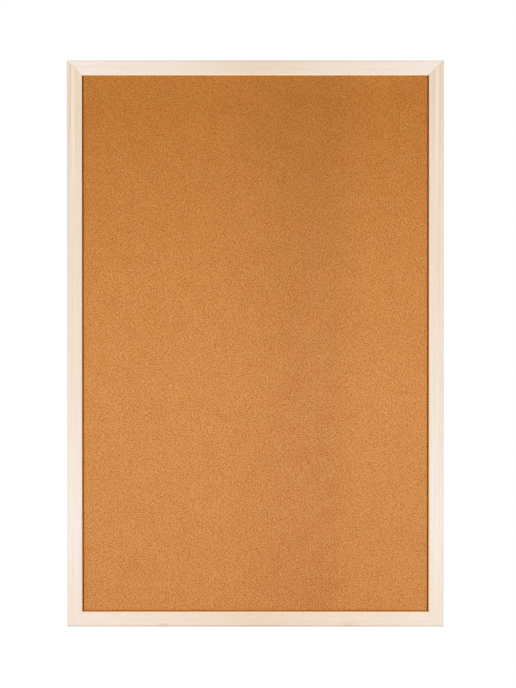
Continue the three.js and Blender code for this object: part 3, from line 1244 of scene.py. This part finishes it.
    def sawn_faces(self, bm: Mesh, corner: Corner) -> list[Face]:
        """Finds a length's sawn faces at a corner of the frame.

        Args:
            bm: The length's mesh.
            corner: The corner.

        Returns:
            The faces in the plane of its mitre, the largest first, or none if it isn't there.
        """
        middle = (cad_box[0] + cad_box[1]) / 2
        across, up = corner.value
        slanting = [
            face
            for face in bm.faces
            if abs(face.normal.y) < self.LEVEL_ENOUGH
            and abs(abs(face.normal.x) - abs(face.normal.z)) < self.LEVEL_ENOUGH
            and (face.calc_center_median().x - middle.x) * across > 0
            and (face.calc_center_median().z - middle.z) * up > 0
        ]
        slanting.sort(key=lambda face: face.calc_area(), reverse=True)
        return [
            face
            for face in slanting
            if abs(slanting[0].normal.dot(face.verts[0].co - slanting[0].verts[0].co)) < self.same_plane
        ]


@dataclass
class PinningPanel:
    """Cork, core board and back panel, with the staples that hold them in the frame.

    Attributes:
        pitch: Spacing of the cork's relief.
        relief: Height of the cork's granules.
        level: Share of this height by which the face is brought forward, to keep its mean in place.
        granule: Size of the cork's larger granules.
        grit: Size of the grit on them.
        grit_share: Height of the grit as a share of the granules'.
        ragged: How far the cork's cut edges wander.
        ragged_wave: Length of this wandering.
        side_swell: How far the cork, crushed into its place, swells towards each stile.
        foot_swell: The same towards the bottom rail.
        top_swell: The same towards the top rail.
        crush: How far the crushed edge is pressed down.
        crush_width: Width of the crushed edge.
        staple_edge: Rounding of the staples' wire.
    """

    pitch: float = 1.52 * MM
    relief: float = 0.03 * MM
    level: float = 0.35
    granule: float = 4.0 * MM
    grit: float = 1.6 * MM
    grit_share: float = 0.25
    ragged: float = 0.12 * MM
    ragged_wave: float = 8.0 * MM
    side_swell: float = 0.8 * MM
    foot_swell: float = 0.48 * MM
    top_swell: float = 0.28 * MM
    crush: float = 0.7 * MM
    crush_width: float = 2.2 * MM
    staple_edge: float = 0.12 * MM

    def build(self) -> None:
        """Builds the cork and dresses the solids behind it."""
        low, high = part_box("cork_sheet")
        low -= Vector((self.side_swell, 0.0, self.foot_swell))
        high += Vector((self.side_swell, 0.0, self.top_swell))
        cork = CorkFinish(low, high).material("pressed_cork")
        piece = Workshop.made("cork_face", self.cork_mesh(low, high), cork, crisp=60.0)
        Workshop.fit(piece, "board", "cork", "cork_sheet")
        Workshop.coat("core_board", SOFTBOARD.material("softboard"))
        Workshop.coat("back_panel", HARDBOARD.material("hardboard"))
        staple_wire = STAPLE_WIRE.material("staple_wire")
        for node in sorted(frame["nodes"]):
            if node.startswith("staple_"):
                staple = Workshop.coat(node, staple_wire)
                Workshop.round_edges(staple, self.staple_edge, weld=True)

    def cork_mesh(self, low: Vector, high: Vector) -> Mesh:
        """Models the cork: a face of granules, cut edges that wander a little, and a flat back.

        Args:
            low: The sheet's lowest corner.
            high: Its highest corner.

        Returns:
            The mesh.
        """
        middle = (low + high) / 2
        half = (high - low) / 2
        stand = Matrix.Translation((middle.x, low.y, middle.z)) @ Matrix.Rotation(QUARTER, 4, "X")
        bm = bmesh.new()
        bmesh.ops.create_grid(
            bm,
            x_segments=round(2 * half.x / self.pitch),
            y_segments=round(2 * half.z / self.pitch),
            size=1.0,
            matrix=stand @ Matrix.Diagonal((half.x, half.z, 1.0, 1.0)),
        )
        rim = [edge for edge in bm.edges if edge.is_boundary]
        for vert in bm.verts:
            hollow = noise.voronoi(vert.co / self.granule)[0][0] - self.level
            hollow += self.grit_share * noise.noise(vert.co / self.grit)
            margin = half.x - abs(vert.co.x - middle.x)
            crushed = max(0.0, 1.0 - margin / self.crush_width) ** 2
            vert.co.y += self.relief * hollow + self.crush * crushed
        for vert in dict.fromkeys(vert for edge in rim for vert in edge.verts):
            inwards = Vector((middle.x - vert.co.x, 0.0, middle.z - vert.co.z))
            wander = self.ragged * (0.5 + 0.5 * noise.noise(vert.co / self.ragged_wave))
            if abs(inwards.x) / half.x > abs(inwards.z) / half.z:
                vert.co.x += math.copysign(wander, inwards.x)
            else:
                vert.co.z += math.copysign(wander, inwards.z)
        verts, back = Workshop.draw_out(bm, rim)
        for vert in verts:
            vert.co.y = high.y
        bmesh.ops.edgeloop_fill(bm, edges=back)
        bmesh.ops.recalc_face_normals(bm, faces=bm.faces)
        return bm


@dataclass
class RingHanger:
    """A strap rolled round a wire D-ring, and the screw that holds it to its stile.

    Attributes:
        hand: The stile that it is on.
        strap_width: Width of the strap.
        strap_edge: Rounding of its edges.
        sheet: Thickness of its sheet.
        hole: Radius of its hole.
        knuckle_bore: Radius inside the rolled knuckle.
        knuckle_turn: How far the knuckle is rolled.
        wire: Thickness of the ring's wire.
        wire_end: Rounding of the wire's two ends.
        ring_straight: Half of the ring's straight side, up to its bends.
        ring_bend: Radius of these two bends.
        ring_bow: Radius of the ring's round end.
        ring_seam: Gap between the wire's two ends.
        screw_drop: From the ring's axis down to the screw.
        screw_head: Radius of the screw's head.
        head_height: Height of the head.
        screw_shank: Radius of the shank.
        screw_length: Length of the shank and point.
        screw_point: Length of the point.
        screw_tip: Radius of the point's tip.
        cross_lines: Lines of the head's grid, as shares of its radius.
        cross_floor: Height of the cross recess's floor above the strap.
        cross_taper: How much narrower the floor is than the mouth.
    """

    hand: Hand
    strap_width: float = 7 * MM
    strap_edge: float = 0.14 * MM
    sheet: float = 1 * MM
    hole: float = 1.6 * MM
    knuckle_bore: float = 1.3 * MM
    knuckle_turn: float = math.radians(300)
    wire: float = 2 * MM
    wire_end: float = 0.15 * MM
    ring_straight: float = 4 * MM
    ring_bend: float = 1.5 * MM
    ring_bow: float = 5.5 * MM
    ring_seam: float = 0.3 * MM
    screw_drop: float = 16.5 * MM
    screw_head: float = 2.5 * MM
    head_height: float = 1.7 * MM
    screw_shank: float = 1.2 * MM
    screw_length: float = 12 * MM
    screw_point: float = 3 * MM
    screw_tip: float = 0.06 * MM
    cross_lines: tuple[float, ...] = (0.0, 0.14, 0.36, 0.56, 0.75, 0.9, 1.0)
    cross_floor: float = 0.7 * MM
    cross_taper: float = 0.86

    def __post_init__(self) -> None:
        """Finds the axis that the ring swings about."""
        name = f"{self.hand.value}_ring_swing"
        self.axis = Vector(next(j["pos_m"] for j in frame["joints"] if j["name"] == name))

    def build(self, zinc: bpy.types.Material) -> None:
        """Builds the strap, ring and screw.

        Args:
            zinc: Their finish.
        """
        hand = self.hand.value
        strap = Workshop.made(f"{hand}_strap", self.strap_mesh(), zinc)
        thick = strap.modifiers.new("sheet", "SOLIDIFY")
        thick.thickness = self.sheet
        thick.offset = -1.0
        thick.use_even_offset = True
        Workshop.round_edges(strap, self.strap_edge)
        Workshop.weigh_normals(strap)
        Workshop.fit(strap, "board", "zinc", f"{hand}_hanger_strap")
        ring = Workshop.made(f"{hand}_ring_wire", self.ring_mesh(), zinc, crisp=50.0)
        Workshop.fit(ring, f"{hand}_ring", "zinc", f"{hand}_hanger_ring")
        screw = Workshop.made(f"{hand}_screw", self.screw_mesh(), zinc, crisp=40.0)
        Workshop.fit(screw, "board", "zinc", f"{hand}_hanger_screw")

    def strap_mesh(self) -> Mesh:
        """Models the strap's outer skin: a plate with a round end and a hole, rolled at its top.

        Returns:
            The mesh, still without its thickness.
        """
        half = self.strap_width / 2
        outer = self.knuckle_bore + self.sheet
        plate = Matrix.Translation((0.0, -outer, -self.screw_drop)) @ Matrix.Rotation(QUARTER, 4, "X")
        bm = bmesh.new()
        rings = [
            bmesh.ops.create_circle(bm, segments=Facets.HOLE, radius=radius, matrix=plate)["verts"]
            for radius in (half, self.hole)
        ]
        for vert in rings[0]:
            up = vert.co.z + self.screw_drop
            if up > Workshop.HAIR:
                grow = half / max(abs(vert.co.x), up)
                vert.co.x *= grow
                vert.co.z = up * grow - self.screw_drop
        bmesh.ops.bridge_loops(bm, edges=bm.edges)
        top = half - self.screw_drop
        head = [
            edge
            for edge in bm.edges
            if all(abs(vert.co.z - top) < Workshop.HAIR for vert in edge.verts)
        ]
        verts, lip = Workshop.draw_out(bm, head)
        for vert in verts:
            vert.co.z = 0.0
        bmesh.ops.spin(
            bm,
            geom=lip,
            cent=(0.0, 0.0, 0.0),
            axis=(1.0, 0.0, 0.0),
            angle=-self.knuckle_turn,
            steps=Facets.KNUCKLE,
        )
        bmesh.ops.remove_doubles(bm, verts=bm.verts, dist=Workshop.HAIR)
        bmesh.ops.recalc_face_normals(bm, faces=bm.faces)
        plate_face = min(bm.faces, key=lambda face: face.calc_center_median().y)
        if plate_face.normal.y > 0:
            bmesh.ops.reverse_faces(bm, faces=bm.faces)
        bmesh.ops.translate(bm, verts=bm.verts, vec=self.axis)
        return bm

    def ring_mesh(self) -> Mesh:
        """Sweeps the ring's wire round its D, from one end of the wire to the other.

        Returns:
            The mesh.
        """
        bm = bmesh.new()
        section = Matrix.Translation((self.ring_seam / 2, 0.0, 0.0)) @ Matrix.Rotation(QUARTER, 4, "Y")
        bmesh.ops.create_circle(bm, segments=Facets.WIRE, radius=self.wire / 2, matrix=section)
        loop = list(bm.edges)
        top = Vector((self.ring_straight - self.ring_seam / 2, 0.0, 0.0))
        side = Vector((0.0, 0.0, self.ring_bow - self.ring_bend))
        right = Vector((self.ring_straight, 0.0, -self.ring_bend))
        bow = Vector((0.0, 0.0, -self.ring_bow))
        left = Vector((-self.ring_straight, 0.0, -self.ring_bend))
        for run, centre, angle, steps in (
            (top, right, QUARTER, Facets.SMALL_BEND),
            (-side, bow, math.pi, Facets.BOW),
            (side, left, QUARTER, Facets.SMALL_BEND),
        ):
            loop = self.run_wire(bm, loop, run)
            loop = self.bend_wire(bm, loop, centre, angle, steps)
        self.run_wire(bm, loop, top)
        ends = [edge for edge in bm.edges if edge.is_boundary]
        caps = bmesh.ops.holes_fill(bm, edges=ends)["faces"]
        bmesh.ops.recalc_face_normals(bm, faces=bm.faces)
        rims = list(dict.fromkeys(edge for face in caps for edge in face.edges))
        Workshop.cut_edges(bm, rims, self.wire_end, 2)
        bmesh.ops.translate(bm, verts=bm.verts, vec=self.axis)
        return bm

    @staticmethod
    def run_wire(bm: Mesh, loop: list[Edge], along: Vector) -> list[Edge]:
        """Carries the wire straight on.

        Args:
            bm: The ring's mesh.
            loop: The open end of the wire.
            along: How far it goes.

        Returns:
            The new open end.
        """
        verts, end = Workshop.draw_out(bm, loop)
        bmesh.ops.translate(bm, verts=verts, vec=along)
        return end

    @staticmethod
    def bend_wire(bm: Mesh, loop: list[Edge], centre: Vector, angle: float, steps: int) -> list[Edge]:
        """Carries the wire round a bend.

        Args:
            bm: The ring's mesh.
            loop: The open end of the wire.
            centre: Middle of the bend.
            angle: How far it bends.
            steps: How finely it is faceted.

        Returns:
            The new open end.
        """
        turned = bmesh.ops.spin(
            bm, geom=loop, cent=centre, axis=(0.0, 1.0, 0.0), angle=angle, steps=steps
        )
        return [item for item in turned["geom_last"] if isinstance(item, Edge)]

    def screw_mesh(self) -> Mesh:
        """Models the screw: a domed head with a cross recess, a shank and a point.

        Returns:
            The mesh.
        """
        bm = bmesh.new()
        steps = len(self.cross_lines) - 1
        bmesh.ops.create_grid(bm, x_segments=2 * steps, y_segments=2 * steps, size=1.0)
        for vert in bm.verts:
            vert.co.xy = [
                math.copysign(self.cross_lines[round(abs(value) * steps)], value)
                for value in vert.co.xy
            ]
        cross = [face for face in bm.faces if self.in_cross(face.calc_center_median())]
        rim = [edge for edge in bm.edges if edge.is_boundary]
        for vert in bm.verts:
            x, y = vert.co.xy
            round_x = x * math.sqrt(1 - y * y / 2)
            round_y = y * math.sqrt(1 - x * x / 2)
            dome = math.sqrt(max(0.0, 1 - round_x**2 - round_y**2))
            vert.co = (round_x * self.screw_head, round_y * self.screw_head, dome * self.head_height)
        for item in bmesh.ops.extrude_face_region(bm, geom=cross)["geom"]:
            if isinstance(item, Vert):
                item.co.xy *= self.cross_taper
                item.co.z = self.cross_floor
        bmesh.ops.delete(bm, geom=cross, context="FACES")
        for radius, height in (
            (self.screw_shank, 0.0),
            (self.screw_shank, self.screw_point - self.screw_length),
            (self.screw_tip, -self.screw_length),
        ):
            verts, rim = Workshop.draw_out(bm, rim)
            for vert in verts:
                vert.co.xy = vert.co.xy.normalized() * radius
                vert.co.z = height
        bmesh.ops.edgeloop_fill(bm, edges=rim)
        bmesh.ops.remove_doubles(bm, verts=bm.verts, dist=Workshop.HAIR)
        bmesh.ops.recalc_face_normals(bm, faces=bm.faces)
        outwards = Matrix.Rotation(-QUARTER, 4, "X")
        seat = Vector((self.axis.x, self.sheet, self.axis.z - self.screw_drop))
        bmesh.ops.transform(bm, verts=bm.verts, matrix=Matrix.Translation(seat) @ outwards)
        return bm

    def in_cross(self, spot: Vector) -> bool:
        """Says whether a place on the head, as shares of its radius, lies in the cross recess."""
        near, far = sorted((abs(spot.x), abs(spot.y)))
        return near < self.cross_lines[1] and far < self.cross_lines[3]


@dataclass(frozen=True)
class Lamp:
    """A soft rectangular lamp.

    Attributes:
        name: Its name.
        place: Where it hangs.
        aim: What it points at.
        size: Its width and height.
        power: Its power in watts.
    """

    name: str
    place: Vector
    aim: Vector
    size: Pair
    power: float

    def hang(self) -> None:
        """Hangs the lamp, out of the camera's sight."""
        data = bpy.data.lights.new(self.name, "AREA")
        data.shape = "RECTANGLE"
        data.size, data.size_y = self.size
        data.energy = self.power
        lamp = bpy.data.objects.new(self.name, data)
        lamp.location = self.place
        lamp.rotation_euler = (self.aim - self.place).to_track_quat("-Z", "Y").to_euler()
        lamp.visible_camera = False
        bpy.context.scene.collection.objects.link(lamp)


@dataclass
class Studio:
    """Camera, lamps, pale floor and white surroundings.

    Attributes:
        distance: From the camera to the front of the board.
        lens: Focal length, in millimetres.
        rise: How far the camera stands above what it looks at.
        aside: How far the camera stands to the right of the board's middle.
        aim_drop: How far below the board's middle it looks.
        lamp_reach: How far in front and to each side the two front lamps hang.
        floor_drop: From the foot of the board down to the floor.
        floor_clear: How far out the floor is plain.
        floor_reach: How far out it goes, fading into the surroundings.
        floor_tone: Colour of the floor.
        ambient: Strength of the light that the surroundings give.
    """

    distance: float = 2.8
    lens: float = 138.36
    rise: float = 0.0367
    aside: float = 0.0027
    aim_drop: float = 0.00015
    lamp_reach: float = 1.9
    floor_drop: float = 0.8
    floor_clear: float = 0.7
    floor_reach: float = 2.4
    floor_tone: Colour = (0.8, 0.8, 0.8)
    ambient: float = 0.5

    def build(self) -> None:
        """Sets up the camera, the lamps, the floor and the world."""
        low, high = cad_box
        middle = (low + high) / 2
        self.set_camera(Vector((middle.x + self.aside, low.y, middle.z - self.aim_drop)))
        out = self.lamp_reach
        left, right = (Vector((side * out, -out, middle.z)) for side in (-1, 1))
        rear = Vector((0.7, 2.4, 0.5))
        behind = Vector((0.0, 0.25, 0.0))
        above = behind + Vector((0.0, 0.0, 0.9))
        for lamp in (
            Lamp("left_lamp", left, middle, size=(1.2, 1.8), power=26.5),
            Lamp("right_lamp", right, middle, size=(1.2, 1.8), power=26.5),
            Lamp("rear_lamp", rear, middle, size=(1.8, 1.8), power=26.0),
            Lamp("top_lamp", above, behind, size=(1.2, 0.4), power=4.5),
        ):
            lamp.hang()
        self.set_floor(low.z - self.floor_drop)
        self.set_world()
        bpy.context.scene.view_settings.view_transform = "Standard"

    def set_camera(self, aim: Vector) -> None:
        """Places the camera.

        Args:
            aim: What it looks at.
        """
        data = bpy.data.cameras.new("camera")
        data.lens = self.lens
        data.clip_end = 50.0
        camera = bpy.data.objects.new("camera", data)
        camera.location = aim + Vector((0.0, -self.distance, self.rise))
        camera.rotation_euler = (aim - camera.location).to_track_quat("-Z", "Y").to_euler()
        bpy.context.scene.collection.objects.link(camera)
        bpy.context.scene.camera = camera

    def set_floor(self, level: float) -> None:
        """Lays a pale round floor that fades into the white surroundings.

        Args:
            level: Its height.
        """
        bm = bmesh.new()
        spot = Matrix.Translation((0.0, 0.0, level))
        bmesh.ops.create_circle(
            bm, cap_ends=True, segments=Facets.FLOOR, radius=self.floor_reach, matrix=spot
        )
        sheet = ShaderSheet(bpy.data.materials.new("floor"))
        sheet.coat(self.floor_tone, rough=0.8, gloss=0.2)
        out = sheet.vector("LENGTH", sheet.vector("MULTIPLY", sheet.place(), (1.0, 1.0, 0.0)))
        far = sheet.span(out, (self.floor_clear, self.floor_reach), (0.0, 1.0))
        faded = sheet.sums("MULTIPLY", far, sheet.seen())
        white = sheet.add("Emission").outputs["Emission"]
        sheet.end_in(faded, sheet.surface.outputs["BSDF"], white)
        Workshop.made("floor", bm, sheet.owner)

    def set_world(self) -> None:
        """Makes the surroundings white to see, and dimmer as light."""
        sheet = ShaderSheet(bpy.data.worlds.new("studio"))
        light = sheet.wire(sheet.tree.nodes["Background"], Color=WHITE, Strength=self.ambient)
        white = sheet.add("Background", WHITE)
        sheet.end_in(sheet.seen(), light.outputs["Background"], white.outputs["Background"])
        bpy.context.scene.world = sheet.owner


def main() -> None:
    """Builds the studio and the board's sub-assemblies in order."""
    logging.basicConfig(level=logging.INFO, format="%(name)s: %(message)s")
    Studio().build()
    PineFrame().build()
    PinningPanel().build()
    zinc = ZINC.material("zinc")
    for hand in Hand:
        RingHanger(hand).build(zinc)


if __name__ == "__main__":
    main()
